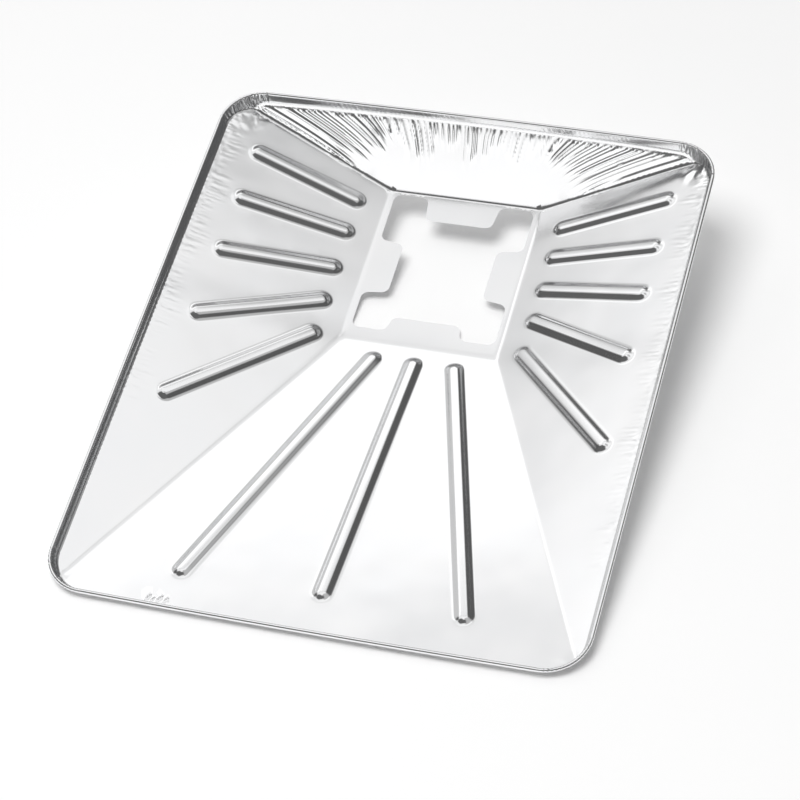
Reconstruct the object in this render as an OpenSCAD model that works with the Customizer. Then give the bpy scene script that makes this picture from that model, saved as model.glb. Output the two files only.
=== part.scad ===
// Foil drip tray liner: one sheet of aluminium foil, pressed into a shallow funnel that
// falls to a rectangular base near the rear. The base has a tabbed outlet, the three
// gentle panels carry a fan of stiffening ribs, and the edge is rolled into a bead.
// Millimetres. The tray is drawn level: X runs across it, Y from the front to the rear,
// and Z = 0 is the middle of the rolled rim. Its weight lies in front of the base, so
// the last transform tips it forward on to its front panel, as it comes to rest.

/* [Rim] */
// Width across the rolled rim
tray_w = 432; // [400:1:480]
// Length from the front of the rolled rim to its rear
tray_l = 512.5; // [490:0.5:560]
// Corner radius on the middle of the rolled rim
corner_r = 34; // [22:1:50]
// Thickness of the foil
foil_t = 0.12; // [0.09:0.01:0.3]
// Diameter of the rolled rim
bead_d = 3.2; // [2.4:0.1:4.4]
// How far round the foil is curled to make the rim, in degrees
curl_angle = 315; // [240:5:320]
// How far the front and rear edges bow outwards at their middle
bow_ends = 1.3; // [0:0.1:3]
// How far the left and right edges bow outwards at their middle
bow_sides = 0.3; // [0:0.1:3]
// Crimps pressed round each corner of the rim
crimps = 8; // [5:1:10]
// Depth of each crimp
crimp_depth = 0.35; // [0:0.05:0.6]

/* [Wall and panels] */
// Height of the short upright wall under the rim
wall_h = 7.1; // [5:0.1:10]
// How far the foot of that wall stands in from the middle of the rim
wall_in = 2.8; // [2.4:0.1:4]
// Depth of the base below the middle of the rim
depth = 58.2; // [48:0.2:70]
// Width of the base
base_w = 132.8; // [120:0.2:150]
// Length of the base
base_l = 158.5; // [150:0.5:175]
// Distance from the middle of the rear rim to the rear crease of the base
rear_run = 42.4; // [38:0.1:50]

/* [Outlet] */
// Width of the outlet between its side edges
outlet_w = 123.6; // [110:0.2:126]
// Plain strip of base left in front of the outlet
outlet_front = 13.1; // [8:0.1:16]
// Plain strip of base left behind the outlet
outlet_rear = 3; // [2:0.1:6]
// Radius of the outlet's corners and of the corners of its tabs
outlet_r = 6.5; // [3:0.1:8]
// Width of the front and rear tabs at their roots
end_tab_w = 64; // [50:1:72]
// How far the front tab reaches into the outlet
front_tab = 14.5; // [8:0.5:20]
// How far the rear tab reaches into the outlet
rear_tab = 24; // [16:0.5:30]
// Width of the left and right tabs at their roots
side_tab_w = 57; // [45:1:62]
// How far the left and right tabs reach into the outlet
side_tab = 21.5; // [14:0.5:28]
// Middle of the left tab, from the front crease of the base
left_tab_y = 77.5; // [72:0.5:84]
// Middle of the right tab, from the front crease of the base
right_tab_y = 83; // [78:0.5:88]
// How much a tab narrows on each side from its root to its tip
tab_draw = 3; // [0:0.5:6]

/* [Ribs] */
// Width of a rib at its foot
rib_w = 15.2; // [12:0.1:17]
// Width of a rib's flat top
rib_top_w = 8.4; // [6:0.1:10]
// Height of a rib above its panel
rib_h = 3.2; // [2:0.1:4.5]
// From the side creases of the base up the panel to the ribs
side_rib_in = 18.8; // [14:0.1:26]
// From the side ribs up the panel to the foot of the wall
side_rib_out = 28.4; // [20:0.1:36]
// From the front crease of the base up the panel to the ribs
front_rib_in = 13; // [8:0.1:20]
// From the front ribs up the panel to the foot of the wall
front_rib_out = 30.5; // [24:0.1:40]
// Inner and outer end of each left rib, measured back from the base's front crease
left_ribs = [[135.6, 152], [102.7, 100.5], [65, 43.4], [32.4, -25.6], [0, -109.7]];
// Inner and outer end of each right rib, measured back from the base's front crease
right_ribs = [[134, 156.6], [103.8, 105.5], [70.3, 56.1], [40, -8.6], [8.1, -97.5]];
// Inner and outer end of each front rib, measured to the right of the middle
front_ribs = [[-31.2, -113.9], [1.6, 1.8], [34.5, 115.8]];

/* [Folds] */
// Spacing of the fanned folds on each side of the rear panel, along the wall
fan_pitch = 6.6; // [6:0.1:8]
// Spacing of the upright folds in the middle of the rear panel
upright_pitch = 7.6; // [6:0.1:10]
// Half width of a fold on the rear panel
rear_fold_w = 2.3; // [1.6:0.1:3]
// Height of a fold on the rear panel
rear_fold_h = 1.3; // [0.5:0.1:2]
// Spacing of the gathers along the side walls
gather_pitch = 7; // [6:0.1:9]
// Half width of a gather
gather_w = 2; // [1.2:0.1:2.6]
// Height of a gather
gather_h = 0.6; // [0.3:0.05:1.2]
// Length of the shortest gather down the side panel
gather_l = 22; // [14:1:28]
// Distance behind the front rim at which the gathers begin
gather_start = 96; // [70:1:140]

/* [Hidden] */

// Bead and the line that the middle of the bead follows
bead_r = bead_d / 2;
mid_w = tray_w - bead_d - 2 * bow_sides;
mid_l = tray_l - bead_d - 2 * bow_ends;
corner_steps = 2 * crimps;
side_steps = 4;
curl_steps = 7;
wall_draft = atan2(wall_in - bead_r, wall_h);

// Base, in the level tray
base_y = mid_l - rear_run - base_l;
base_top = -depth;

// Slope and length of each panel, from its crease at the base to the foot of the wall
panel_rise = depth - wall_h;
side_run = mid_w / 2 - wall_in - base_w / 2;
front_run = base_y - wall_in;
back_run = rear_run - wall_in;
side_slope = atan2(panel_rise, side_run);
front_slope = atan2(panel_rise, front_run);
back_slope = atan2(panel_rise, back_run);
side_len = norm([side_run, panel_rise]);
front_len = norm([front_run, panel_rise]);
back_len = norm([back_run, panel_rise]);

// Room left above the rim and below a surface where one shape cuts another
over = 6;
sink = 2;

// Facets on the round ends of a rib and on the outlet's corners
rib_fn = 12;
outlet_fn = 16;

// Leg that the curl of the rim sends down into the wall, as a share of the rim's radius,
// and how far its foot draws in from each face, as a share of the foil's thickness
leg_share = 0.15;
leg_draw = 0.2;

// Folds start this far under the wall, their height falls by this share from one point
// of their path to the next, and their ends dip this far under the panel
fold_gap = 1;
fold_fade = 0.25;
fold_dip = 0.15;

// Fanned folds: from the base's corner line to the first one and from the rim's corner
// to the last one, and how far the last one starts down the panel
fan_first = 12;
fan_last = 8;
fan_fall = 9;

// Lower end of the first fanned fold, outwards from the base's corner and up the panel,
// the way from there to the lower end of the last one, and how far they bend
fan_foot = [5.5, 36];
fan_spread = [20, -22];
fan_bulge = [3, 4];
fan_steps = [0, 0.15, 0.5, 1];

// Upright folds: how far they pass the base's corner lines, their mean length and lean
upright_reach = 5;
upright_l = 24;
upright_steps = [0, 0.3, 1];

// Gathers: how far they run into the rear corners, as a share of the corner radius, and
// how much longer than the shortest the longest is
corner_share = 0.3;
gather_extra = 16;
gather_steps = [0, 0.2, 1];

// How far the folds stray from their even spacing, at their upper and lower ends
fan_stray = 2.5;
foot_stray = [5, 6];
upright_stray = 3;
upright_lean = 9;
upright_vary = 18;
gather_stray = 2;
gather_lean = 5;

// Least and greatest factors on a fold's width, height and bend
width_vary = [0.8, 1.2];
height_vary = [0.6, 1.3];
bend_vary = [0.3, 1.3];

// Seeds and the draws that vary the folds, each between 0 and 1
draws = 160;
fan_draw = rands(0, 1, draws, 11);
upright_draw = rands(0, 1, draws, 23);
left_draw = rands(0, 1, draws, 37);
right_draw = rands(0, 1, draws, 53);
function stray(draw, spread) = spread * (draw - 0.5);
function between(draw, limits) = limits[0] + (limits[1] - limits[0]) * draw;

// The pose at rest: the tray lies on the underside of its front panel
rest_lift = depth * cos(front_slope) - base_y * sin(front_slope) + foil_t;

// Sections of the rim

// Corners of the rim in turn: front right, rear right, rear left and front left
function corner_x(c) = (c < 2 ? 1 : -1) * (mid_w / 2 - corner_r);
function corner_y(c) = c == 0 || c == 3 ? corner_r : mid_l - corner_r;
function corner_from(c) = 90 * c - 90;

// One station of the rim: where its arc is centred, which way is outwards, and whether
// it is pinched by a crimp
function corner_station(c, k) =
    [corner_x(c), corner_y(c), corner_from(c) + 90 * k / corner_steps, k % 2];
function corner_run(c) = [for (k = [0:corner_steps]) corner_station(c, k)];

// A point of the rim's middle line, moved inwards by inset
function on_corner(s, inset) =
    [s[0] + (corner_r - inset) * cos(s[2]), s[1] + (corner_r - inset) * sin(s[2])];

// Points between corner c and the next, on the straight side that bows outwards
function side_point(c, k, inset) =
    let (
        a = on_corner(corner_station(c, corner_steps), inset),
        b = on_corner(corner_station((c + 1) % 4, 0), inset),
        u = k / side_steps,
        bow = (c % 2 == 0 ? bow_sides : bow_ends) * 4 * u * (1 - u),
        out = corner_from((c + 1) % 4)
    )
    a + u * (b - a) + bow * [cos(out), sin(out)];

// The whole ring: each entry is the point, its outward angle and its crimp. A crimp moves
// its point outwards by pinch.
function rim_ring(inset, pinch) = [
    for (c = [0:3])
        for (e = concat(
            [for (s = corner_run(c)) [on_corner(s, inset - pinch * s[3]), s[2], s[3]]],
            [for (k = [1:side_steps - 1]) [side_point(c, k, inset), corner_from((c + 1) % 4), 0]]
        )) e
];

// A closed solid through a list of rings, each a list of the same number of points that
// run anticlockwise as seen from the last ring
module loft(rings, closed = false) {
    count = len(rings);
    n = len(rings[0]);
    points = [for (ring = rings) for (p = ring) p];
    last = closed ? count - 1 : count - 2;
    walls = [
        for (i = [0:last])
            for (j = [0:n - 1])
                let (
                    a = i * n + j,
                    b = i * n + (j + 1) % n,
                    c = ((i + 1) % count) * n + (j + 1) % n,
                    d = ((i + 1) % count) * n + j
                )
                for (f = [[a, c, b], [a, d, c]]) f
    ];
    caps = closed ? [] : [
        [for (j = [0:n - 1]) j],
        [for (j = [n - 1:-1:0]) (count - 1) * n + j]
    ];
    polyhedron(points = points, faces = concat(walls, caps), convexity = 6);
}

// Section of the rolled rim, as distance outwards from its middle line and height
function curl_point(r, k) =
    let (a = 180 - k * curl_angle / curl_steps) r * [cos(a), sin(a)];
function curl_section(r) =
    let (
        leg = leg_share * r,
        foot = -r - leg * tan(wall_draft),
        outer = [for (k = [0:curl_steps]) curl_point(r, k)],
        inner = [for (k = [curl_steps:-1:0]) curl_point(r - foil_t, k)]
    )
    concat(
        [[foot + leg_draw * foil_t, -leg]],
        outer,
        inner,
        [[foot + (1 - leg_draw) * foil_t, -leg]]
    );

module bead() {
    ring = rim_ring(0, 0);
    loft(
        [for (e = ring)
            [for (p = curl_section(bead_r - crimp_depth * e[2] / 2))
                [e[0][0] + p[0] * cos(e[1]), e[0][1] + p[0] * sin(e[1]), p[1]]]],
        closed = true
    );
}

// The space inside the upright wall, grown outwards by g
module wall_space(g, top) {
    function inset(z) = bead_r - z * tan(wall_draft) - g / cos(wall_draft);
    function level(z) =
        [for (e = rim_ring(inset(z), crimp_depth / 2)) [e[0][0], e[0][1], z]];
    loft([level(base_top - over), level(top)]);
}

// Rectangle inside the four panel planes at height z, each plane moved outwards by g
function panel_level(z, g) =
    let (
        up = z - base_top,
        x = base_w / 2 + up / tan(side_slope) + g / sin(side_slope),
        front = base_y - up / tan(front_slope) - g / sin(front_slope),
        rear = base_y + base_l + up / tan(back_slope) + g / sin(back_slope)
    )
    [[-x, front, z], [x, front, z], [x, rear, z], [-x, rear, z]];

module panel_space(g, top) {
    loft([panel_level(base_top - g, g), panel_level(top, g)]);
}

// Frames that lie on the panels: X along the crease, Y up the slope, Z into the tray
module on_left() {
    translate([-base_w / 2, base_y, base_top]) rotate([0, 0, 90]) rotate([side_slope, 0, 0]) children();
}
module on_right() {
    translate([base_w / 2, base_y, base_top]) rotate([0, 0, -90]) rotate([side_slope, 0, 0]) children();
}
module on_front() {
    translate([0, base_y, base_top]) rotate([0, 0, 180]) rotate([front_slope, 0, 0]) children();
}
module on_rear() {
    translate([0, base_y + base_l, base_top]) rotate([back_slope, 0, 0]) children();
}

// One pressed rib between two points of a panel, shrunk by g so that the foil keeps its
// thickness. It reaches below the panel, to cut it cleanly.
module rib(from, to, g) {
    flank = (rib_w - rib_top_w) / 2;
    shift = g / sin(atan2(rib_h, flank));
    along = (to - from) / norm(to - from);
    function half(z) = rib_w / 2 - flank * z / rib_h - shift;
    hull()
        for (end = [from + along * rib_w / 2, to - along * rib_w / 2])
            translate([end[0], end[1], -sink])
                rotate([0, 0, atan2(along[1], along[0])])
                    cylinder(r1 = half(-sink), r2 = half(rib_h), h = rib_h + sink - g, $fn = rib_fn);
}

module ribs(g) {
    side_out = side_len - side_rib_out;
    for (r = left_ribs) on_left() rib([r[0], side_rib_in], [r[1], side_out], g);
    for (r = right_ribs) on_right() rib([-r[0], side_rib_in], [-r[1], side_out], g);
    for (r = front_ribs) on_front() rib([-r[0], front_rib_in], [-r[1], front_len - front_rib_out], g);
}

// One fold: a crest along a path on a panel that dies out at both ends. Its flanks run on
// below the panel, and it is lowered by as much as keeps the foil's thickness.
module fold(path, half_w, height, g) {
    last = len(path) - 1;
    drop = g / cos(atan2(height, half_w));
    function heading(k) =
        let (v = path[min(k + 1, last)] - path[max(k - 1, 0)]) v / norm(v);
    function crest(k) = k == 0 || k == last ? -fold_dip : height * (1 - fold_fade * (k - 1));
    function foot(k) = half_w * (crest(k) + sink) / height;
    function section(k) =
        let (h = heading(k), side = [-h[1], h[0]] * foot(k))
        [
            [path[k][0] - side[0], path[k][1] - side[1], -sink - drop],
            [path[k][0] + side[0], path[k][1] + side[1], -sink - drop],
            [path[k][0], path[k][1], crest(k) - drop]
        ];
    loft([for (k = [0:last]) section(k)]);
}

// A path from a to b through the given shares of its length, bent sideways by bulge at
// its middle, with its X turned round where side is -1
function bent_path(a, b, bulge, shares, side) = [
    for (t = shares)
        let (p = a + t * (b - a) + 4 * t * (1 - t) * bulge)
        [side * p[0], p[1]]
];

// The fanned folds of the rear panel start under the wall and run down towards the
// nearer corner of the base
module fan_folds(side, g) {
    first = base_w / 2 + fan_first;
    last = mid_w / 2 - corner_r - fan_last;
    count = floor((last - first) / fan_pitch);
    for (k = [0:count]) {
        odd = side < 0 ? 0 : 1;
        r = fan_draw[2 * k + odd];
        q = fan_draw[draws - 2 - 2 * k + odd];
        share = k / count;
        top = [
            first + k * fan_pitch + stray(r, fan_stray),
            back_len - fold_gap - fan_fall * pow(share, 3)
        ];
        foot = [base_w / 2, 0] + fan_foot + share * fan_spread
            + [stray(q, foot_stray[0]), stray(r, foot_stray[1])];
        path = bent_path(top, foot, fan_bulge * between(q, bend_vary), fan_steps, side);
        fold(path, rear_fold_w * between(q, width_vary), rear_fold_h * between(r, height_vary), g);
    }
}

// The upright folds between the two fans
module upright_folds(g) {
    edge = base_w / 2 + upright_reach;
    count = floor(2 * edge / upright_pitch);
    for (k = [0:count]) {
        r = upright_draw[2 * k];
        q = upright_draw[2 * k + 1];
        top = [(2 * k / count - 1) * edge + stray(r, upright_stray), back_len - fold_gap];
        foot = top + [stray(q, upright_lean), -upright_l - stray(r, upright_vary)];
        path = bent_path(top, foot, [0, 0], upright_steps, 1);
        fold(path, rear_fold_w * between(q, width_vary), rear_fold_h * between(r, height_vary), g);
    }
}

// Gathers down a side panel from the foot of its wall; start and stop are distances
// along the panel from the base's front crease
module gathers(draw, side, g) {
    start = gather_start - base_y;
    stop = mid_l - base_y - corner_r * (1 - corner_share);
    count = floor((stop - start) / gather_pitch);
    for (k = [0:count]) {
        r = draw[k];
        q = draw[draws - 1 - k];
        top = [start + k * gather_pitch + stray(q, gather_stray), side_len - fold_gap / 2];
        foot = top + [stray(q, gather_lean), -gather_l - gather_extra * r * r];
        path = bent_path(top, foot, [0, 0], gather_steps, side);
        fold(path, gather_w * between(q, width_vary), gather_h * between(r, height_vary), g);
    }
}

module folds(g) {
    on_rear() {
        fan_folds(-1, g);
        fan_folds(1, g);
        upright_folds(g);
    }
    on_left() gathers(left_draw, 1, g);
    on_right() gathers(right_draw, -1, g);
}

// The space above the sheet, up to the height top, with its surface moved by g
module tray_space(g, top) {
    difference() {
        intersection() {
            panel_space(g, top);
            wall_space(g, top);
        }
        ribs(g);
        folds(g);
    }
}

// Outline of the opening in the base, with its four tabs
module tab(width, reach) {
    root = width / 2;
    tip = root - tab_draw;
    polygon([[-root, -over], [root, -over], [root, 0], [tip, reach], [-tip, reach], [-root, 0]]);
}
module outlet() {
    front = outlet_front;
    rear = base_l - outlet_rear;
    offset(r = outlet_r, $fn = outlet_fn) offset(r = -2 * outlet_r, $fn = outlet_fn)
        offset(r = outlet_r, $fn = outlet_fn) difference() {
            translate([-outlet_w / 2, front]) square([outlet_w, rear - front]);
            translate([0, front]) tab(end_tab_w, front_tab);
            translate([0, rear]) rotate(180) tab(end_tab_w, rear_tab);
            translate([-outlet_w / 2, left_tab_y]) rotate(-90) tab(side_tab_w, side_tab);
            translate([outlet_w / 2, right_tab_y]) rotate(90) tab(side_tab_w, side_tab);
        }
}

// The liner, level
module sheet() {
    difference() {
        tray_space(foil_t, 0);
        tray_space(0, over);
        translate([0, base_y, base_top - over]) linear_extrude(2 * over) outlet();
    }
}

module liner() {
    color("silver")
        translate([0, -mid_l * cos(front_slope) / 2, rest_lift])
            rotate([front_slope, 0, 0])
                union() {
                    sheet();
                    bead();
                }
}

liner();
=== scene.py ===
"""Foil drip tray liner: one pressed sheet of aluminium foil with a rolled rim.

The sheet is drawn in the level tray, in millimetres: X across, Y from the front rim to the
rear, Z = 0 at the middle of the rolled rim. The last step tips it on to its front panel, as
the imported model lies, and turns millimetres into metres.
"""

from math import atan2, cos, pi, radians, sin, tan

import bpy
import numpy as np
from mathutils import Matrix, Vector
from mathutils.geometry import delaunay_2d_cdt


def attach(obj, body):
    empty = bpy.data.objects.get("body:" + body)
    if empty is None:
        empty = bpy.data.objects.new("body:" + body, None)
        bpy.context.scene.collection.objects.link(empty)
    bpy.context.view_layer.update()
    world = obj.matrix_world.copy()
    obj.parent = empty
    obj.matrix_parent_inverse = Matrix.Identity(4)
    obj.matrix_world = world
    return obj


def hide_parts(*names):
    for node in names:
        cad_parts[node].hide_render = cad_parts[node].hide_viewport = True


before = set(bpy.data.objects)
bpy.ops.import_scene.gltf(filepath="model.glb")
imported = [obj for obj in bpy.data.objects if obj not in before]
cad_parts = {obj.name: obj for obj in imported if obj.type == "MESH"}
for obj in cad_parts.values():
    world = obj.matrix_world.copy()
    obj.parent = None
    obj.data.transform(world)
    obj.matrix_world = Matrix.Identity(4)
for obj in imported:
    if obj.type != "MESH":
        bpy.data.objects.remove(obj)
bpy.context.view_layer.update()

MM = 0.001

# Rim
TRAY_W = 432.0
TRAY_L = 512.5
CORNER_R = 34.0
FOIL_T = 0.12
BEAD_R = 1.6
CURL = radians(315)
BOW_ENDS = 1.3
BOW_SIDES = 0.3
MID_W = TRAY_W - 2 * BEAD_R - 2 * BOW_SIDES
MID_L = TRAY_L - 2 * BEAD_R - 2 * BOW_ENDS

# Wall, panels and base
WALL_H = 7.1
WALL_IN = 2.8
DEPTH = 58.2
BASE_W = 132.8
BASE_L = 158.5
REAR_RUN = 42.4
BASE_Y = MID_L - REAR_RUN - BASE_L
RISE = DEPTH - WALL_H
WALL_DRAFT = (WALL_IN - BEAD_R) / WALL_H
SIDE_SLOPE = atan2(RISE, MID_W / 2 - WALL_IN - BASE_W / 2)
FRONT_SLOPE = atan2(RISE, BASE_Y - WALL_IN)
REAR_SLOPE = atan2(RISE, REAR_RUN - WALL_IN)
SIDE_LEN = RISE / sin(SIDE_SLOPE)
FRONT_LEN = RISE / sin(FRONT_SLOPE)
REAR_LEN = RISE / sin(REAR_SLOPE)

# Ribs: width at the foot and on top, height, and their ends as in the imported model; the top is a
# little narrower and lower here, because the flanks are rounded
RIB_W = 15.2
RIB_TOP_W = 6.8
RIB_H = 3.0
SIDE_RIB_IN = 18.8
SIDE_RIB_OUT = 28.4
FRONT_RIB_IN = 13.0
FRONT_RIB_OUT = 30.5
LEFT_RIBS = [(135.6, 152), (102.7, 100.5), (65, 43.4), (32.4, -25.6), (0, -109.7)]
RIGHT_RIBS = [(134, 156.6), (103.8, 105.5), (70.3, 56.1), (40, -8.6), (8.1, -97.5)]
FRONT_RIBS = [(-31.2, -113.9), (1.6, 1.8), (34.5, 115.8)]

# Outlet and its tabs
OUTLET_W = 123.6
OUTLET_FRONT = 13.1
OUTLET_REAR = 3.0
OUTLET_R = 6.5
END_TAB_W = 64.0
FRONT_TAB = 14.5
REAR_TAB = 24.0
SIDE_TAB_W = 57.0
SIDE_TAB = 21.5
LEFT_TAB_Y = 77.5
RIGHT_TAB_Y = 83.0
TAB_DRAW = 3.0

# Pose at rest, on the underside of the front panel
REST_LIFT = DEPTH * cos(FRONT_SLOPE) - BASE_Y * sin(FRONT_SLOPE) + FOIL_T
REST = (
    Matrix.Translation((0, -MID_L * cos(FRONT_SLOPE) / 2, REST_LIFT))
    @ Matrix.Rotation(FRONT_SLOPE, 4, "X")
)


def smooth_step(t):
    t = np.clip(t, 0, 1)
    return t * t * (3 - 2 * t)


def smooth_max(a, b, width):
    """The larger of a and b, rounded where they are within width of each other."""
    near = np.maximum(width - np.abs(a - b), 0) / width
    return np.maximum(a, b) + near * near * width / 4


def smooth_min(a, b, width):
    return -smooth_max(-a, -b, width)


# Random fields, the same on each run


def lattice(i, j, seed):
    """A repeatable random number from 0 to 1 for each pair of whole numbers."""
    n = (i.astype(np.int64) * 374761393 + j.astype(np.int64) * 668265263 + seed * 974634777)
    n = (n ^ (n >> 13)) & 0xFFFFFFFF
    n = (n * 1274126177) & 0xFFFFFFFF
    n = (n ^ (n >> 16)) & 0xFFFFFFFF
    return (n % 100003) / 100003.0


def soft_noise(x, y, cell, seed):
    """Smooth random field from -1 to 1 whose bumps are about cell across."""
    gx, gy = x / cell, y / cell
    i, j = np.floor(gx), np.floor(gy)
    u, v = smooth_step(gx - i), smooth_step(gy - j)
    low = lattice(i, j, seed) * (1 - u) + lattice(i + 1, j, seed) * u
    high = lattice(i, j + 1, seed) * (1 - u) + lattice(i + 1, j + 1, seed) * u
    return 2 * (low * (1 - v) + high * v) - 1


def facet_noise(x, y, cell, turn, seed):
    """Random field of flat triangles about cell across, as in crumpled foil."""
    gx = (x * cos(turn) + y * sin(turn)) / cell
    gy = (y * cos(turn) - x * sin(turn)) / cell
    i, j = np.floor(gx), np.floor(gy)
    u, v = gx - i, gy - j
    a, b = lattice(i, j, seed), lattice(i + 1, j, seed)
    c, d = lattice(i, j + 1, seed), lattice(i + 1, j + 1, seed)
    lower = a + (b - a) * u + (d - b) * v
    upper = a + (d - c) * u + (c - a) * v
    return 2 * np.where(u > v, lower, upper) - 1


# Shape of the tray without its ribs and folds


def funnel(x, y):
    """Height of the panels and the base, with softly rounded creases."""
    side = (np.abs(x) - BASE_W / 2) * tan(SIDE_SLOPE)
    front = (BASE_Y - y) * tan(FRONT_SLOPE)
    rear = (y - BASE_Y - BASE_L) * tan(REAR_SLOPE)
    # the front left crease is rounder than the front right one
    up = smooth_max(side, front, np.where(x < 0, 1.5, 0.6))
    up = smooth_max(up, rear, 1.7)
    return smooth_max(up, np.zeros_like(up), 0.8) - DEPTH


def panel_of(x, y):
    """0 for the base, 1 for a side panel, 2 for the front and 3 for the rear."""
    heights = np.stack([
        np.zeros_like(x),
        (np.abs(x) - BASE_W / 2) * tan(SIDE_SLOPE),
        (BASE_Y - y) * tan(FRONT_SLOPE),
        (y - BASE_Y - BASE_L) * tan(REAR_SLOPE),
    ])
    return heights.argmax(0), heights


def up_side(x):
    return (np.abs(x) - BASE_W / 2) / cos(SIDE_SLOPE)


def up_front(y):
    return (BASE_Y - y) / cos(FRONT_SLOPE)


def up_rear(y):
    return (y - BASE_Y - BASE_L) / cos(REAR_SLOPE)


# Ribs


def rib_ends(rib, low, high):
    """Middles of the round ends of a rib, in its panel's own plane."""
    a, b = np.array([rib[0], low]), np.array([rib[1], high])
    along = (b - a) / np.linalg.norm(b - a)
    return a + along * RIB_W / 2, b - along * RIB_W / 2


def segment_distance(u, v, a, b):
    axis = b - a
    share = ((u - a[0]) * axis[0] + (v - a[1]) * axis[1]) / axis.dot(axis)
    share = np.clip(share, 0, 1)
    return np.hypot(u - a[0] - share * axis[0], v - a[1] - share * axis[1])


def rib_profile(distance):
    flank = (RIB_W / 2 - distance) * RIB_H / (RIB_W / 2 - RIB_TOP_W / 2)
    rounding = 1.1
    return smooth_min(smooth_max(flank, 0 * flank, rounding), RIB_H + 0 * flank, rounding)


def all_ribs():
    """Each rib as its panel's name and the middles of its two round ends."""
    side_out = SIDE_LEN - SIDE_RIB_OUT
    front_out = FRONT_LEN - FRONT_RIB_OUT
    ribs = [("left", *rib_ends(r, SIDE_RIB_IN, side_out)) for r in LEFT_RIBS]
    ribs += [("right", *rib_ends(r, SIDE_RIB_IN, side_out)) for r in RIGHT_RIBS]
    ribs += [("front", *rib_ends(r, FRONT_RIB_IN, front_out)) for r in FRONT_RIBS]
    return ribs


RIBS = all_ribs()


def in_panel(name, x, y):
    """Coordinates of plan points in a panel's plane: along its crease, and up its slope."""
    if name == "front":
        return x, up_front(y)
    if name == "rear":
        return x, up_rear(y)
    return y - BASE_Y, up_side(x)


def to_plan(name, u, v):
    """The plan point of a point in a panel's plane."""
    if name == "front":
        return u, BASE_Y - v * cos(FRONT_SLOPE)
    if name == "rear":
        return u, BASE_Y + BASE_L + v * cos(REAR_SLOPE)
    side = -1 if name == "left" else 1
    return side * (BASE_W / 2 + v * cos(SIDE_SLOPE)), u + BASE_Y


def on_rib(x, y, reach):
    """Which plan points lie within reach of a rib's middle line."""
    result = np.zeros(len(x), bool)
    for name, a, b in RIBS:
        u, v = in_panel(name, x, y)
        right_side = {"left": x < 0, "right": x > 0, "front": y < BASE_Y}[name]
        result |= right_side & (segment_distance(u, v, a, b) < reach)
    return result


def rib_height(x, y):
    height = np.zeros_like(x)
    for name, a, b in RIBS:
        u, v = in_panel(name, x, y)
        right_side = {"left": x < 0, "right": x > 0, "front": y < BASE_Y}[name]
        distance = np.where(right_side, segment_distance(u, v, a, b), RIB_W)
        height += rib_profile(np.minimum(distance, RIB_W))
    return height


# Folds of the rear panel: narrow pleats along a fan that opens from the base towards the wall

# Along the wall from its middle: where the upright folds give way to the fan, and where the fan ends
FAN_START = 78.0
FAN_END = 199.0
# The plan point that the rows of the mesh circle round, from the middle and from the base's crease
FAN_FOCUS = (33.0, -13.0)
# Spacing of those rows
FAN_ROW = 2.4
# The fan is worked out on lines no farther out than this
FAN_LIMIT = 214


def fan_foot(top_u):
    """The foot of the fan's line that meets the wall at top_u."""
    size = np.abs(top_u)
    outer = np.maximum(size - FAN_START, 0)
    foot_u = np.sign(top_u) * (np.minimum(size, FAN_START) * 0.846 + 0.25 * outer)
    foot_v = 30 + 10 * smooth_step((size - 50) / 28) - 0.27 * outer
    return foot_u, foot_v


def fan_top(top_u):
    """How far up the rear panel the line ends, at the foot of the bowed wall."""
    share = np.clip(top_u / 190, -1, 1)
    return REAR_LEN - 2.4 + 2.1 * (1 - share * share)


def fan_at(top_u, v):
    """Where a line of the fan lies at v, the share of its way up, and its slant there."""
    foot_u, foot_v = fan_foot(top_u)
    length = fan_top(top_u) - foot_v
    share = np.clip((v - foot_v) / length, 0, 1.2)
    bent = share ** 1.3
    sway = 4.0 * bent * np.maximum(1 - share, 0) * soft_noise(top_u, 20 * share, 16.0, 71)
    slant = (top_u - foot_u) * 1.3 * share ** 0.3 / length
    return foot_u + (top_u - foot_u) * bent + sway, share, slant


def fan_place(u, v):
    """The line of the fan through each point, with its share, its slant and its spread."""
    top_u = u * 1.0
    for _ in range(12):
        at, share, slant = fan_at(top_u, v)
        spread = np.maximum((fan_at(top_u + 0.05, v)[0] - at) / 0.05, 0.15)
        top_u = np.clip(top_u + np.clip((u - at) / spread, -25, 25), -FAN_LIMIT, FAN_LIMIT)
    return top_u, share, slant, spread


def rear_folds():
    """Each fold as its place along the wall, the share where it starts, half width and height."""
    rng = np.random.default_rng(5)
    folds = []
    for side in (-1, 1):
        u = FAN_START + 1
        while u < FAN_END:
            half = rng.uniform(0.8, 1.5)
            folds.append((side * u, rng.uniform(0, 0.3), half, half * rng.uniform(0.2, 0.42)))
            u += rng.uniform(3.0, 6.4)
    u = 2.0 - FAN_START
    while u < FAN_START - 2:
        half = rng.uniform(0.7, 1.5)
        start = rng.uniform(-0.1, 0.3) if rng.random() < 0.55 else rng.uniform(0.3, 0.7)
        folds.append((u, start, half, half * rng.uniform(0.24, 0.5)))
        u += rng.uniform(2.4, 6.0)
    return folds


REAR_FOLDS = rear_folds()


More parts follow.
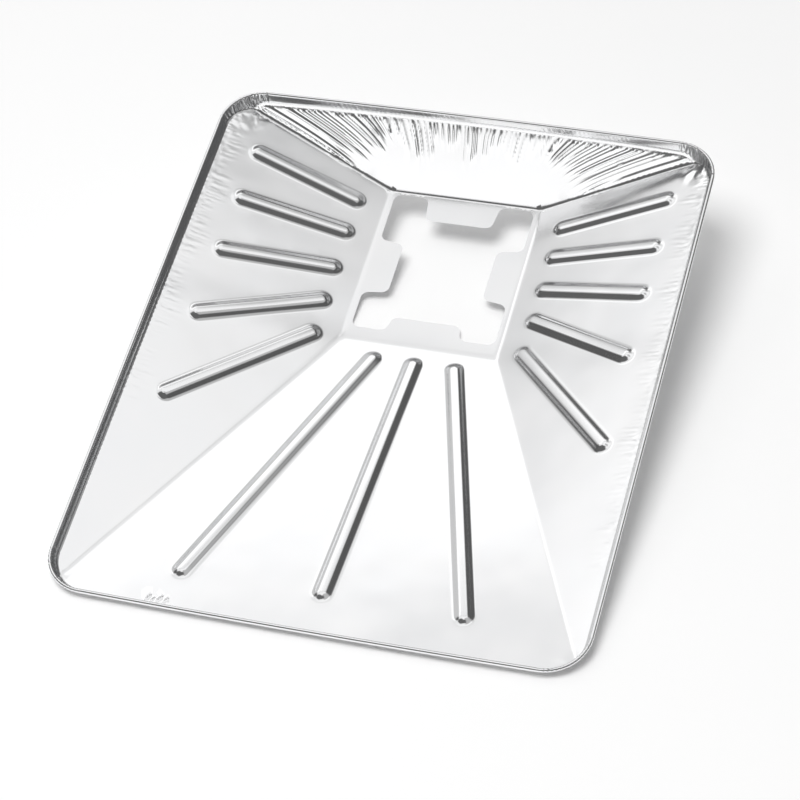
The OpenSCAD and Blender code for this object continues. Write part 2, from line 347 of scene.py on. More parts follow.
def fan_points():
    """Points of the rear panel in lines along the fan, closer together on each fold."""
    columns = [fold[0] for fold in REAR_FOLDS]
    for step in (1, -1, 2, -2):
        for centre, _, half, _ in REAR_FOLDS:
            at = centre + step * 0.55 * half * (1 + abs(centre) / 190)
            if min(abs(at - other) for other in columns) > 0.45:
                columns.append(at)
    columns.sort()
    fills = []
    for a, b in zip(columns[:-1], columns[1:]):
        count = int((b - a) / 1.7)
        fills += [a + (b - a) * k / (count + 1) for k in range(1, count + 1)]
    out = []
    for top_u in sorted(columns + fills):
        v = np.linspace(fan_foot(top_u)[1], fan_top(top_u), 90)
        u = fan_at(top_u, v)[0]
        flat_v = v * cos(REAR_SLOPE)
        if abs(top_u) > FAN_START:
            along = np.hypot(np.abs(u) - FAN_FOCUS[0], flat_v - FAN_FOCUS[1])
        else:
            along = flat_v
        first = int(along[0] / FAN_ROW) + 1
        rows = np.arange(first, int(along[-1] / FAN_ROW) + 1) * FAN_ROW
        rows = np.concatenate([[along[0]], rows, [along[-1]]])
        v = np.interp(rows, along, v)
        out.append(np.stack([fan_at(top_u, v)[0], v], 1))
    return np.stack(to_plan("rear", *np.concatenate(out).T), 1)


def rear_fold_height(x, y):
    u, v = in_panel("rear", x, y)
    total = np.zeros_like(u)
    near = np.flatnonzero(v > 5)
    if not len(near):
        return total
    top_u, share, slant, spread = fan_place(u[near], v[near])
    part = np.zeros(len(near))
    for centre, start, half, height in REAR_FOLDS:
        across = np.abs(top_u - centre) * spread / np.hypot(1, slant)
        reach = half * (0.4 + 0.6 * np.minimum(spread, 1))
        part += height * smooth_step((share - start) * 4) * np.maximum(1 - across / reach, 0)
    total[near] = part * smooth_step((fan_top(top_u) - v[near] - 0.3) / 2.4)
    return total


# A small crinkle near the front left corner, in the front panel's plane: each stroke as its end
# towards the rim, its other end, half width and height
CRINKLES = [
    (-130.0, 303.5, -126.0, 297.0, 0.8, 0.60),
    (-125.0, 304.0, -122.5, 299.5, 0.7, 0.50),
    (-121.0, 303.5, -116.5, 296.5, 0.8, 0.66),
    (-115.5, 303.0, -111.5, 298.0, 0.7, 0.54),
]


def crinkle_points():
    out = []
    for top_u, top_v, foot_u, foot_v, half, _ in CRINKLES:
        for k in range(-1, 6):
            for offset in (0, 0.5, -0.5, 1.0, -1.0, 1.7, -1.7):
                share = k / 4
                u = foot_u + (top_u - foot_u) * share + offset * half
                out.append((u, foot_v + (top_v - foot_v) * share))
    return np.stack(to_plan("front", *np.array(out).T), 1)


def crinkle_height(x, y):
    u, v = in_panel("front", x, y)
    total = np.zeros_like(u)
    for top_u, top_v, foot_u, foot_v, half, height in CRINKLES:
        share = (v - foot_v) / (top_v - foot_v)
        across = np.abs(u - foot_u - (top_u - foot_u) * share)
        fade = smooth_step(share * 4) * smooth_step((1.1 - share) * 4)
        total += height * fade * np.maximum(1 - across / half, 0)
    return total


# Gathers of the side panels: short soft pleats under the rim, from here to the rear

GATHERS_FROM = 92.0


def side_gathers(side, seed):
    """Each gather as its place along the rim, length, lean, half width and height."""
    rng = np.random.default_rng(seed)
    outer_ends = [b[0] for name, a, b in RIBS if name == side]
    gathers = []
    u = GATHERS_FROM - BASE_Y
    while u < MID_L - BASE_Y - 16:
        near = max(np.exp(-((u - end) / 15) ** 2) for end in outer_ends)
        length = rng.uniform(9, 22) + 7 * near
        height = rng.uniform(0.03, 0.11) * (0.7 + 1.1 * near)
        gathers.append((u, length, rng.uniform(-2, 2), rng.uniform(0.9, 1.5), height))
        u += rng.uniform(2.6, 4.4)
    return gathers


GATHERS = {"left": side_gathers("left", 17), "right": side_gathers("right", 29)}


def gather_height(x, y):
    v = up_side(x)
    total = np.zeros_like(x)
    for side, sign in (("left", -1), ("right", 1)):
        near = np.flatnonzero((x * sign > 0) & (v > SIDE_LEN - 36))
        if not len(near):
            continue
        u, w = y[near] - BASE_Y, SIDE_LEN - v[near]
        part = np.zeros(len(near))
        for at, length, lean, half, height in GATHERS[side]:
            share = w / length
            across = np.abs(u - at - lean * share)
            fade = smooth_step((1 - share) * 1.8)
            part += height * fade * smooth_step(1 - across / half)
        total[near] += part
    return total


# Slow waves all over the sheet, and crumpled corners: each is centred this far in from both sides,
# and reaches so far from there at the rear and at the front

CRUMPLE_IN = 9
REAR_CRUMPLE = 30
FRONT_CRUMPLE = 20


def waves(x, y):
    """Slow waves, lifted over the front panel so that none of them dips below the floor."""
    wide = soft_noise(x, y, 95, 3) * 0.25
    medium = soft_noise(x + 40, y, 38, 7) * 0.06
    small = soft_noise(x, y + 11, 15, 13) * 0.022
    on_floor = smooth_step((BASE_Y + 20 - y) / 40)
    return wide + medium + small + 0.42 * on_floor


def corner_distance(x, y):
    """Distance from the middle of the nearest rear crumple, and of the nearest front one."""
    dx = MID_W / 2 - CRUMPLE_IN - np.abs(x)
    rear = np.hypot(dx, MID_L - CRUMPLE_IN - y)
    front = np.hypot(dx, y - CRUMPLE_IN)
    return rear, front


def crumple(x, y):
    rear, front = corner_distance(x, y)
    coarse = facet_noise(x, y, 8.0, 0.5, 21) * 0.75
    fine = facet_noise(x, y, 3.6, 1.1, 22) * 0.30
    at_rear = smooth_step((REAR_CRUMPLE - rear) / 22)
    at_front = smooth_step((FRONT_CRUMPLE - front) / 16)
    return (coarse + fine) * (at_rear + 0.35 * at_front)


def relief(x, y):
    """How far the sheet stands off its smooth panels."""
    which, heights = panel_of(x, y)
    ordered = np.sort(heights, axis=0)
    clear = smooth_step((ordered[-1] - ordered[-2]) / 1.2)
    total = rib_height(x, y) + waves(x, y) + crumple(x, y)
    total += np.where(which == 1, gather_height(x, y), 0) * clear
    total += np.where(which == 3, rear_fold_height(x, y), 0) * clear
    total += np.where(which == 2, crinkle_height(x, y), 0)
    return total


def surface(x, y):
    """Points of the sheet's upper face at the given plan points."""
    step = 0.05
    z = funnel(x, y)
    gx = (funnel(x + step, y) - funnel(x - step, y)) / (2 * step)
    gy = (funnel(x, y + step) - funnel(x, y - step)) / (2 * step)
    normal = np.stack([-gx, -gy, np.ones_like(gx)], 1)
    normal /= np.linalg.norm(normal, axis=1)[:, None]
    return np.stack([x, y, z], 1) + normal * relief(x, y)[:, None]


# Stations round the rim, each with its point, its outward direction and its place


def arc_count(length, spacing):
    return max(2, int(round(length / spacing)))


def rim_stations():
    """Points of the rim's middle line, turning anticlockwise from the front right corner."""
    hx, hy = MID_W / 2 - CORNER_R, MID_L / 2 - CORNER_R
    middles = [(hx, -hy), (hx, hy), (-hx, hy), (-hx, -hy)]
    spans = []
    corner_steps = arc_count(CORNER_R * pi / 2, 0.8)
    for c in range(4):
        start = radians(90 * c - 90)
        turns = start + np.arange(corner_steps) / corner_steps * pi / 2
        mx, my = middles[c]
        spans.append(np.stack([
            mx + CORNER_R * np.cos(turns), my + CORNER_R * np.sin(turns),
            np.cos(turns), np.sin(turns), np.full(corner_steps, 1.0),
        ], 1))
        nx, ny = cos(start + pi / 2), sin(start + pi / 2)
        ex, ey = middles[(c + 1) % 4]
        a = np.array([mx + CORNER_R * nx, my + CORNER_R * ny])
        b = np.array([ex + CORNER_R * nx, ey + CORNER_R * ny])
        length = np.linalg.norm(b - a)
        shares = side_shares(c, length)
        bow = (BOW_SIDES if c % 2 == 0 else BOW_ENDS) * 4 * shares * (1 - shares)
        along = a + shares[:, None] * (b - a) + bow[:, None] * np.array([nx, ny])
        ones = np.ones(len(shares))
        spans.append(np.stack([along[:, 0], along[:, 1], nx * ones, ny * ones, 0 * ones], 1))
    out = np.concatenate(spans)
    out[:, 1] += MID_L / 2
    return out


def side_shares(c, length):
    """Where the stations of a side lie: sides 0 and 2 have gathers towards the rear."""
    if c == 1:
        return np.arange(arc_count(length, 1.9)) / arc_count(length, 1.9)
    if c == 3:
        return np.arange(arc_count(length, 2.6)) / arc_count(length, 2.6)
    plain = 60.0
    rough = np.arange(arc_count(plain, 2.6)) / arc_count(plain, 2.6) * plain
    fine_count = arc_count(length - plain, 2.2)
    fine = plain + np.arange(fine_count) / fine_count * (length - plain)
    shares = np.concatenate([rough, fine]) / length
    if c == 0:
        return shares
    turned = 1 - shares[::-1]
    return np.concatenate([[0], turned[:-1]])


STATIONS = rim_stations()


def wall_point(inset):
    """Plan points of the rim's line moved inwards by inset."""
    return STATIONS[:, :2] - STATIONS[:, 2:4] * np.reshape(inset, (-1, 1))


def crimps():
    """How deep each station is crimped, from 0 to 1, in the corners alone."""
    along = np.arctan2(STATIONS[:, 3], STATIONS[:, 2]) * CORNER_R
    drift = soft_noise(along, 0 * along, 7.0, 51)
    tooth = 1 - np.abs(np.sin(along / 2.9 * pi + 1.6 * drift))
    depth = 0.6 + 0.4 * soft_noise(along, 0 * along + 5, 4.0, 52)
    return tooth ** 1.4 * depth * STATIONS[:, 4]


def wall_ribbing():
    """Fine upright ribbing of the wall, mostly at the rear and along the gathers."""
    x, y = STATIONS[:, 0], STATIONS[:, 1]
    along = np.where(np.abs(STATIONS[:, 3]) > 0.7, x, y)
    rear = smooth_step((y - MID_L + 40) / 20) * smooth_step((150 - np.abs(x)) / 40)
    sides = smooth_step((y - 95) / 60) * (np.abs(STATIONS[:, 2]) > 0.7)
    corner = STATIONS[:, 4]
    amount = 0.16 * rear + 0.10 * sides + 0.22 * corner
    wave = np.sin(along * 2 * pi / 3.6 + 2.2 * soft_noise(along, 0 * along, 7, 61))
    return amount * wave


CRIMP_DEPTH = 1.7
FILLET = 1.5


def panel_foot():
    """Inset and height at which the wall meets the panels, for each station."""
    z = np.full(len(STATIONS), -WALL_H)
    for _ in range(12):
        inset = BEAD_R - z * WALL_DRAFT
        plan = wall_point(inset)
        z = funnel(plan[:, 0], plan[:, 1])
    return inset, z


def rim_rings():
    """Rings from the panels' edge up the wall and round the curl, on the visible face."""
    inset, foot_z = panel_foot()
    crimp = crimps() * CRIMP_DEPTH
    ribbing = wall_ribbing()
    edge_plan = wall_point(inset + FILLET)
    edge = surface(edge_plan[:, 0], edge_plan[:, 1])
    foot_plan = wall_point(inset)
    foot = surface(foot_plan[:, 0], foot_plan[:, 1])
    outward = np.stack([STATIONS[:, 2], STATIONS[:, 3], 0 * foot_z], 1)
    up = np.array([0.0, 0, 1])

    def on_wall(z, out):
        plan = wall_point(BEAD_R - z * WALL_DRAFT - out)
        return np.stack([plan[:, 0], plan[:, 1], z], 1)

    base_z = foot[:, 2]
    above = on_wall(base_z + FILLET, ribbing)
    rings = [edge]
    for t in (0.3, 0.55, 0.8):
        rings.append((1 - t) ** 2 * edge + 2 * t * (1 - t) * foot + t * t * above)
    rings.append(above)
    radius = BEAD_R - crimp / 2
    leg = -0.35 * BEAD_R + 0 * base_z
    for t, grow in ((0.45, 1.0), (1.0, 0.35)):
        z = (1 - t) * (base_z + FILLET) + t * leg
        rings.append(on_wall(z, ribbing * grow + t * crimp / 2))
    steps = 13
    middle = np.stack([STATIONS[:, 0], STATIONS[:, 1], 0 * base_z], 1)
    for k in range(steps + 1):
        a = pi - k * CURL / steps
        rings.append(middle + outward * (radius * cos(a))[:, None] + up * (radius * sin(a))[:, None])
    return rings


# Outline of the outlet


def rounded(points, radius, steps=4):
    """A closed outline with each corner rounded off, at most as far as its sides allow."""
    out = []
    n = len(points)
    for i in range(n):
        p, q, r = (np.array(points[(i + k) % n], float) for k in (-1, 0, 1))
        a, b = (p - q) / np.linalg.norm(p - q), (r - q) / np.linalg.norm(r - q)
        half = np.arccos(np.clip(a.dot(b), -1, 1)) / 2
        reach = min(radius / tan(half), 0.48 * np.linalg.norm(p - q), 0.48 * np.linalg.norm(r - q))
        bend = reach * tan(half)
        middle = q + (a + b) / np.linalg.norm(a + b) * (bend / sin(half))
        start, end = q + a * reach - middle, q + b * reach - middle
        first = atan2(start[1], start[0])
        turn = (atan2(end[1], end[0]) - first + pi) % (2 * pi) - pi
        for k in range(steps + 1):
            angle = first + turn * k / steps
            out.append(middle + bend * np.array([cos(angle), sin(angle)]))
    return np.array(out)


def outlet_outline():
    """The opening in the base, anticlockwise, with Y from the base's front crease."""
    x, front, rear = OUTLET_W / 2, OUTLET_FRONT, BASE_L - OUTLET_REAR
    end, tip = END_TAB_W / 2, END_TAB_W / 2 - TAB_DRAW
    half, side_tip = SIDE_TAB_W / 2, SIDE_TAB_W / 2 - TAB_DRAW
    corners = [
        (-x, front), (-end, front), (-tip, front + FRONT_TAB),
        (tip, front + FRONT_TAB), (end, front), (x, front),
        (x, RIGHT_TAB_Y - half), (x - SIDE_TAB, RIGHT_TAB_Y - side_tip),
        (x - SIDE_TAB, RIGHT_TAB_Y + side_tip), (x, RIGHT_TAB_Y + half),
        (x, rear), (end, rear), (tip, rear - REAR_TAB), (-tip, rear - REAR_TAB), (-end, rear), (-x, rear),
        (-x, LEFT_TAB_Y + half), (SIDE_TAB - x, LEFT_TAB_Y + side_tip),
        (SIDE_TAB - x, LEFT_TAB_Y - side_tip), (-x, LEFT_TAB_Y - half),
    ]
    outline = rounded(corners, OUTLET_R)
    outline[:, 1] += BASE_Y
    return spaced(outline, 4.0)


def spaced(outline, spacing):
    """The outline with points added where its sides are longer than spacing."""
    out = []
    for a, b in zip(outline, np.roll(outline, -1, 0)):
        count = max(1, int(np.ceil(np.linalg.norm(b - a) / spacing)))
        out += [a + (b - a) * k / count for k in range(count)]
    return np.array(out)


# Points that carry the detail of the sheet, and the triangles between them


class Scatter:
    """Plan points, each kept only where no earlier point lies too near."""

    def __init__(self):
        self.cells = {}
        self.points = []

    def add(self, points, apart):
        size = 4.0
        for p in points:
            i, j = int(p[0] // size), int(p[1] // size)
            limit = apart * apart
            near = any(
                (q[0] - p[0]) ** 2 + (q[1] - p[1]) ** 2 < limit
                for di in (-1, 0, 1)
                for dj in (-1, 0, 1)
                for q in self.cells.get((i + di, j + dj), ())
            )
            if not near:
                self.cells.setdefault((i, j), []).append((p[0], p[1]))
                self.points.append((p[0], p[1]))


# Fill points stay this far from a rib's middle line, clear of the rib's own rows
RIB_REACH = 10.6


def rib_points(a, b):
    """Rows along a rib and rings round its ends, in its panel's plane."""
    offsets = np.array([0, 1.8, 2.8, 3.7, 4.6, 5.5, 6.5, 7.5, 8.7, 10.2])
    axis = b - a
    length = np.linalg.norm(axis)
    along = axis / length
    across = np.array([-along[1], along[0]])
    rows = arc_count(length, 5.0)
    out = []
    for k in range(rows + 1):
        for offset in offsets:
            for side in ((1, -1) if offset else (1,)):
                out.append(a + axis * k / rows + across * offset * side)
    for middle, outwards in ((b, along), (a, -along)):
        for offset in offsets[1:]:
            for k in range(1, 12):
                turn = pi * k / 12
                out.append(middle + offset * (outwards * sin(turn) + across * cos(turn)))
    return np.array(out)


def grid(x0, x1, dx, y0, y1, dy):
    """Points of a grid whose alternate rows are shifted by half a step."""
    out = []
    rows = int((y1 - y0) / dy) + 1
    for j in range(rows):
        shift = 0.5 * dx * (j % 2)
        xs = np.arange(x0 + shift, x1, dx)
        out.append(np.stack([xs, np.full(len(xs), y0 + j * dy)], 1))
    return np.concatenate(out)


def crease_points():
    """Rows beside each crease between the panels and round the base."""
    base = [(-BASE_W / 2, BASE_Y), (BASE_W / 2, BASE_Y),
            (BASE_W / 2, BASE_Y + BASE_L), (-BASE_W / 2, BASE_Y + BASE_L)]
    side_x = MID_W / 2 - WALL_IN
    rim = [(-side_x, WALL_IN), (side_x, WALL_IN), (side_x, MID_L - WALL_IN), (-side_x, MID_L - WALL_IN)]
    lines = [(base[k], base[(k + 1) % 4]) for k in range(4)] + list(zip(base, rim))
    out = []
    for a, b in lines:
        a, b = np.array(a), np.array(b)
        length = np.linalg.norm(b - a)
        across = np.array([a[1] - b[1], b[0] - a[0]]) / length
        count = arc_count(length, 4.5)
        for k in range(count + 1):
            for offset in (0, 0.7, -0.7, 1.6, -1.6, 3.0, -3.0, 4.6, -4.6):
                out.append(a + (b - a) * k / count + across * offset)
    out = np.array(out)
    which, heights = panel_of(out[:, 0], out[:, 1])
    # rows that would cut across the folds beside the rear valleys are left out
    cutting = (which == 3) & (heights[3] - heights[1] > 3.0) & (up_rear(out[:, 1]) > 12)
    return out[~cutting]


def inside(points, loop):
    """Which points lie inside a closed loop."""
    result = np.zeros(len(points), bool)
    x, y = points[:, 0], points[:, 1]
    for (ax, ay), (bx, by) in zip(loop, np.roll(loop, -1, 0)):
        if ay == by:
            continue
        crosses = (ay > y) != (by > y)
        result ^= crosses & (x < (bx - ax) * (y - ay) / (by - ay) + ax)
    return result


def sheet_points(outer, hole):
    """Plan points of the sheet: its outer loop, the outlet's outline, and those between them."""
    scatter = Scatter()
    scatter.add(outer, 0.0)
    scatter.add(hole, 0.0)
    rough_outer = outer[::3]
    middle = hole.mean(0)
    # points just outside the outlet's edge would leave slivers there
    wider_hole = middle + (hole - middle) * 1.012

    def keep(points, apart):
        within = inside(points, rough_outer)
        points = points[within & ~inside(points, hole) & ~inside(points, wider_hole)]
        scatter.add(points, apart)

    inset = panel_foot()[0] + FILLET
    keep(wall_point(inset + 0.6), 0.5)
    not_rear = (STATIONS[:, 1] < MID_L - 12) | (np.abs(STATIONS[:, 0]) > 190)
    for offset in (1.7, 3.4):
        keep(wall_point(inset + offset)[not_rear], 0.5)
    keep(crease_points(), 0.55)
    for name, a, b in RIBS:
        keep(np.array([to_plan(name, *p) for p in rib_points(a, b)]), 0.5)
    keep(crinkle_points(), 0.3)
    keep(fan_points(), 0.36)
    for side in ("left", "right"):
        first = GATHERS_FROM + 3 - BASE_Y
        rows = grid(first, MID_L - 12 - BASE_Y, 1.5, SIDE_LEN - 24, SIDE_LEN - 0.5, 3.6)
        rows = np.stack(to_plan(side, rows[:, 0], rows[:, 1]), 1)
        keep(rows[~on_rib(rows[:, 0], rows[:, 1], RIB_REACH)], 0.9)
    for side in (-1, 1):
        cx = side * (MID_W / 2 - CRUMPLE_IN)
        for cy, reach in ((MID_L - CRUMPLE_IN, REAR_CRUMPLE), (CRUMPLE_IN, FRONT_CRUMPLE - 2)):
            corner = grid(-reach, reach, 1.5, -reach, reach, 1.4) + [cx, cy]
            near = np.hypot(corner[:, 0] - cx, corner[:, 1] - cy) < reach
            on_rear = panel_of(corner[:, 0], corner[:, 1])[0] == 3
            keep(corner[near & ~on_rear], 0.7)
    fill = grid(-MID_W / 2, MID_W / 2, 5.4, 0, MID_L, 4.8)
    keep(fill[~on_rib(fill[:, 0], fill[:, 1], RIB_REACH)], 3.4)
    return np.array(scatter.points)


def triangulate(points, outer_count, hole_count, hole, outer):
    """Triangles over the plan points, with the outlet left open."""
    edges = [(k, (k + 1) % outer_count) for k in range(outer_count)]
    edges += [(outer_count + k, outer_count + (k + 1) % hole_count) for k in range(hole_count)]
    found = delaunay_2d_cdt([Vector(p) for p in points], edges, [], 0, 1e-6, True)
    verts, _, faces, origins = found[0], found[1], found[2], found[3]
    source = np.array([o[0] if o else -1 for o in origins])
    plan = np.array([tuple(v) for v in verts])
    tris = np.array([f for f in faces if len(f) == 3])
    middles = plan[tris].mean(1)
    tris = tris[~inside(middles, hole) & inside(middles, outer)]
    p = plan[tris]
    a, b = p[:, 1] - p[:, 0], p[:, 2] - p[:, 0]
    area = a[:, 0] * b[:, 1] - a[:, 1] * b[:, 0]
    tris = np.where(area[:, None] < 0, tris[:, ::-1], tris)
    if (source < 0).any() or len(set(source)) != len(points):
        raise RuntimeError(f"{(source < 0).sum()} new points and {len(points) - len(set(source))} lost")
    return source[tris]


def vertex_normals(points, tris):
    a, b, c = points[tris[:, 0]], points[tris[:, 1]], points[tris[:, 2]]
    face = np.cross(b - a, c - a)
    normals = np.zeros_like(points)
    for k in range(3):
        np.add.at(normals, tris[:, k], face)
    return normals / np.maximum(np.linalg.norm(normals, axis=1), 1e-12)[:, None]


def foil_mesh():
    """Both faces of the foil, joined round the outlet and along the end of the curl."""
    rings = rim_rings()
    count = len(STATIONS)
    outer = wall_point(panel_foot()[0] + FILLET)
    hole = outlet_outline()
    plan = sheet_points(outer, hole)
    tris = triangulate(plan, count, len(hole), hole, outer)
    sheet = surface(plan[:, 0], plan[:, 1])
    points = np.concatenate([sheet] + rings[1:])
    starts = [0] + [len(sheet) + k * count for k in range(len(rings) - 1)]
    here, following = np.arange(count), (np.arange(count) + 1) % count
    quads = []
    for low, high in zip(starts[:-1], starts[1:]):
        quads.append(np.stack([low + here, low + following, high + following, high + here], 1))
    quads = np.concatenate(quads)
    walls = np.concatenate([quads[:, [0, 1, 2]], quads[:, [0, 2, 3]]])
    upper = np.concatenate([tris, walls])
    normals = vertex_normals(points, upper)
    below = points - normals * FOIL_T
    total = len(points)
    lower = upper[:, ::-1] + total
    last = starts[-1]
    lip = np.stack([last + here, last + following, total + last + following, total + last + here], 1)
    at = count + np.arange(len(hole))
    nxt = count + (np.arange(len(hole)) + 1) % len(hole)
    edge = np.stack([nxt, at, total + at, total + nxt], 1)
    seams = np.concatenate([lip, edge])
    seams = np.concatenate([seams[:, [0, 1, 2]], seams[:, [0, 2, 3]]])
    return np.concatenate([points, below]), np.concatenate([upper, lower, seams])


# Edges that bend more than this are drawn sharp
SHARP_BEND = radians(62)


def mesh_object(name, points, faces):
    mesh = bpy.data.meshes.new(name)
    mesh.vertices.add(len(points))
    mesh.vertices.foreach_set("co", points.astype(np.float32).ravel())
    mesh.loops.add(faces.size)
    mesh.loops.foreach_set("vertex_index", faces.astype(np.int32).ravel())
    mesh.polygons.add(len(faces))
    mesh.polygons.foreach_set("loop_start", np.arange(0, faces.size, 3, dtype=np.int32))
    mesh.update(calc_edges=True)
    mesh.validate()
    mesh.shade_smooth()
    mesh.set_sharp_from_angle(angle=SHARP_BEND)
    thing = bpy.data.objects.new(name, mesh)
    bpy.context.scene.collection.objects.link(thing)
    return thing


# Materials


class Nodes:
    """A few short calls for building a node tree."""

    def __init__(self, tree):
        self.tree = tree
        tree.nodes.clear()

    def add(self, kind, **values):
        node = self.tree.nodes.new(kind)
        for name, value in values.items():
            setattr(node, name, value)
        return node

    def link(self, source, target):
        self.tree.links.new(source, target)

    def math(self, operation, a, b=0.0, c=0.0):
        node = self.add("ShaderNodeMath", operation=operation)
        for socket, value in zip(node.inputs, (a, b, c)):
            self.fill(socket, value)
        return node.outputs[0]

    def fill(self, socket, value):
        if isinstance(value, bpy.types.NodeSocket):
            self.link(value, socket)
        else:
            socket.default_value = value

    def noise(self, vector, scale, detail=2.0, roughness=0.5):
        node = self.add("ShaderNodeTexNoise")
        self.link(vector, node.inputs["Vector"])
        node.inputs["Scale"].default_value = scale
        node.inputs["Detail"].default_value = detail
        node.inputs["Roughness"].default_value = roughness
        return node.outputs["Fac"]

    def map_range(self, value, low, high, to_low, to_high, smooth=False):
        node = self.add("ShaderNodeMapRange", interpolation_type="SMOOTHSTEP" if smooth else "LINEAR")
        for socket, entry in zip(node.inputs, (value, low, high, to_low, to_high)):
            self.fill(socket, entry)
        return node.outputs[0]

    def stretch(self, vector, scale):
        node = self.add("ShaderNodeMapping")
        self.link(vector, node.inputs["Vector"])
        node.inputs["Scale"].default_value = scale
        return node.outputs[0]


def new_material(name):
    material = bpy.data.materials.new(name)
    material.use_nodes = True
    return material, Nodes(material.node_tree)


def foil_material():
    """Bright rolled aluminium: fine rolling lines along its length and slow cloudiness."""
    material, nodes = new_material("rolled_foil")
    place = nodes.add("ShaderNodeTexCoord").outputs["Object"]
    lines = nodes.noise(nodes.stretch(place, (2600.0, 60.0, 60.0)), 1.0, 3.0, 0.6)
    grain = nodes.noise(nodes.stretch(place, (900.0, 200.0, 900.0)), 1.0, 2.0)
    cloud = nodes.noise(place, 16.0, 3.0)
    shader = nodes.add("ShaderNodeBsdfPrincipled")
    shader.inputs["Metallic"].default_value = 1.0
    colour = nodes.add("ShaderNodeMix", data_type="RGBA")
    nodes.link(nodes.map_range(cloud, 0.3, 0.7, 0.0, 1.0), colour.inputs["Factor"])
    colour.inputs["A"].default_value = (0.90, 0.905, 0.915, 1)
    colour.inputs["B"].default_value = (0.94, 0.94, 0.945, 1)
    nodes.link(colour.outputs["Result"], shader.inputs["Base Color"])
    sheen = nodes.math("MULTIPLY_ADD", lines, 0.04, nodes.map_range(cloud, 0.25, 0.75, 0.09, 0.15))
    nodes.link(sheen, shader.inputs["Roughness"])
    bump = nodes.add("ShaderNodeBump")
    bump.inputs["Strength"].default_value = 1.0
    bump.inputs["Distance"].default_value = 0.000006
    nodes.link(nodes.math("ADD", lines, nodes.math("MULTIPLY", grain, 0.6)), bump.inputs["Height"])
    nodes.link(bump.outputs["Normal"], shader.inputs["Normal"])
    output = nodes.add("ShaderNodeOutputMaterial")
    nodes.link(shader.outputs["BSDF"], output.inputs["Surface"])
    return material


def floor_material():
    """Matt white paper, a little lifted towards pure white wherever it is seen."""
    material, nodes = new_material("white_paper")
    shader = nodes.add("ShaderNodeBsdfPrincipled")
    shader.inputs["Base Color"].default_value = (0.95, 0.95, 0.95, 1)
    shader.inputs["Roughness"].default_value = 0.9
    shader.inputs["Specular IOR Level"].default_value = 0.1
    rays = nodes.add("ShaderNodeLightPath")
    seen = nodes.math("MAXIMUM", rays.outputs["Is Camera Ray"], rays.outputs["Is Glossy Ray"])
    seen = nodes.math("MAXIMUM", seen, rays.outputs["Is Transmission Ray"])
    shader.inputs["Emission Color"].default_value = (1, 1, 1, 1)
    nodes.link(nodes.math("MULTIPLY", seen, 0.07), shader.inputs["Emission Strength"])
    output = nodes.add("ShaderNodeOutputMaterial")
    nodes.link(shader.outputs["BSDF"], output.inputs["Surface"])
    return material


# The studio


def direction(azimuth, elevation):
    """A world direction: azimuth 0 is +Y, growing towards +X, both in degrees."""
    a, e = radians(azimuth), radians(elevation)
    return Vector((sin(a) * cos(e), cos(a) * cos(e), sin(e)))


# The studio's surroundings, each drawn over the ones before it: the elevations between which it
# fades in and out, its middle azimuth with its full and its faded half width, and its level
DARK = 0.10
SURROUNDINGS = [
    # dim wall behind on the left
    ((None, None, 40, 60), (-45, 22, 40), 0.62),
    # light from overhead
    ((50, 61, None, None), None, 0.98),
    # its part on the left, which reaches lower
    ((36, 45, None, None), (-82, 16, 32), 0.88),
    # its dimmer part on the right, which reaches lower
    ((36, 46, None, None), (95, 26, 46), 0.50),
    # darkness in front of it
    ((None, None, 68, 78), (190, 50, 72), 0.12),
    # its dimmer edge behind on the right
    ((44, 52, 58.5, 63), (5, 16, 33), 0.38),
    # soft box behind on the left
    ((32.3, 41, 48.5, 50.5), (-33, 26, 46), 1.2),
    # gap between the soft box and the overhead light
    ((48.5, 50.5, 57.5, 61), (-30, 30, 60), 0.84),
    # low white wall in front on the left
    ((None, None, 16, 20), (-170, 18, 34), 1.15),
]


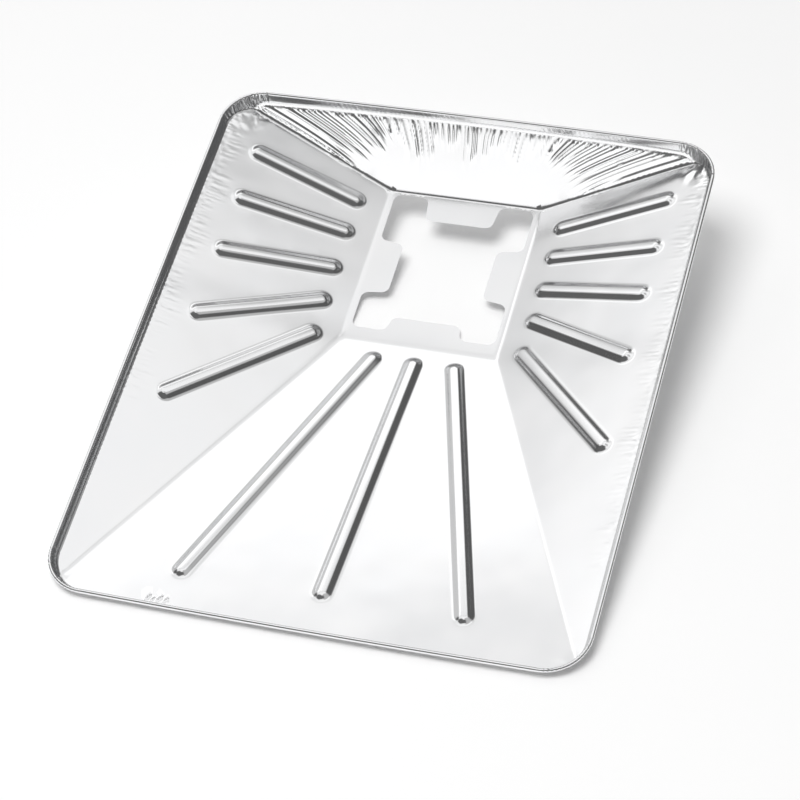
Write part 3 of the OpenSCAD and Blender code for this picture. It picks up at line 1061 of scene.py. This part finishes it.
def world_light():
    """A studio with soft lights behind and overhead, a low white wall, and darkness between."""
    world = bpy.data.worlds.new("studio")
    bpy.context.scene.world = world
    world.use_nodes = True
    nodes = Nodes(world.node_tree)
    way = nodes.add("ShaderNodeTexCoord").outputs["Generated"]
    apart = nodes.add("ShaderNodeSeparateXYZ")
    nodes.link(way, apart.inputs[0])
    height = apart.outputs["Z"]
    level_way = nodes.add("ShaderNodeVectorMath", operation="MULTIPLY")
    nodes.link(way, level_way.inputs[0])
    level_way.inputs[1].default_value = (1, 1, 0)
    flat = nodes.add("ShaderNodeVectorMath", operation="NORMALIZE")
    nodes.link(level_way.outputs[0], flat.inputs[0])
    total = DARK
    for (fade_in, low, high, fade_out), sector, level in SURROUNDINGS:
        mask = 1.0
        if low is not None:
            mask = nodes.map_range(height, sin(radians(fade_in)), sin(radians(low)), 0.0, 1.0, True)
        if high is not None:
            upper = nodes.map_range(height, sin(radians(high)), sin(radians(fade_out)), 1.0, 0.0, True)
            mask = nodes.math("MULTIPLY", upper, mask)
        if sector is not None:
            middle, full, faded = sector
            facing = nodes.add("ShaderNodeVectorMath", operation="DOT_PRODUCT")
            nodes.link(flat.outputs[0], facing.inputs[0])
            facing.inputs[1].default_value = direction(middle, 0)
            side = nodes.map_range(
                facing.outputs["Value"], cos(radians(faded)), cos(radians(full)), 0.0, 1.0, True)
            mask = nodes.math("MULTIPLY", side, mask)
        total = nodes.math("MULTIPLY_ADD", mask, nodes.math("SUBTRACT", level, total), total)
    background = nodes.add("ShaderNodeBackground")
    nodes.link(total, background.inputs["Color"])
    background.inputs["Strength"].default_value = 1.0
    output = nodes.add("ShaderNodeOutputWorld")
    nodes.link(background.outputs[0], output.inputs["Surface"])


# Where the lamp hangs: its way from the liner, and how far off, in metres
LAMP_WAY = Vector((-0.16, -0.19, 0.967)).normalized()
LAMP_AWAY = 3.4


def key_light():
    """One large soft lamp, high and a little to the left, that lights the paper.

    It is hidden from mirrored rays: there the world's overhead light stands for it.
    """
    lamp = bpy.data.lights.new("key", "AREA")
    lamp.shape = "DISK"
    lamp.size = 2.1
    lamp.energy = 69.0
    thing = bpy.data.objects.new("key", lamp)
    thing.location = LAMP_WAY * LAMP_AWAY
    thing.rotation_euler = LAMP_WAY.to_track_quat("Z", "Y").to_euler()
    thing.visible_glossy = False
    bpy.context.scene.collection.objects.link(thing)


def floor():
    mesh = bpy.data.meshes.new("floor")
    reach = 9.0
    corners = [(-reach, -reach, 0), (reach, -reach, 0), (reach, reach, 0), (-reach, reach, 0)]
    mesh.from_pydata(corners, [], [(0, 1, 2, 3)])
    thing = bpy.data.objects.new("floor", mesh)
    mesh.materials.append(floor_material())
    bpy.context.scene.collection.objects.link(thing)


def camera():
    """The photograph's view: from the front right, looking down at about 45 degrees."""
    data = bpy.data.cameras.new("camera")
    data.sensor_width = 36.0
    data.lens = 121.5
    data.clip_end = 50.0
    thing = bpy.data.objects.new("camera", data)
    view = Vector((-0.2569, 0.6553, -0.7104)).normalized()
    up = Vector((-0.1417, 0.7015, 0.6984)).normalized()
    right = view.cross(up).normalized()
    up = right.cross(view)
    turn = Matrix((right, up, -view)).transposed()
    thing.matrix_world = Matrix.Translation((0.5630, -1.4293, 1.5508)) @ turn.to_4x4()
    bpy.context.scene.collection.objects.link(thing)
    bpy.context.scene.camera = thing


def liner():
    points, faces = foil_mesh()
    turned = points @ np.array(REST.to_3x3()).T + np.array(REST.translation)
    piece = mesh_object("foil_liner", turned * MM, faces)
    piece.data.materials.append(foil_material())
    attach(piece, "root")
    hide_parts("liner")
    print("foil_liner has", len(faces), "triangles")


camera()
floor()
world_light()
key_light()
liner()
bpy.context.scene.view_settings.view_transform = "Standard"
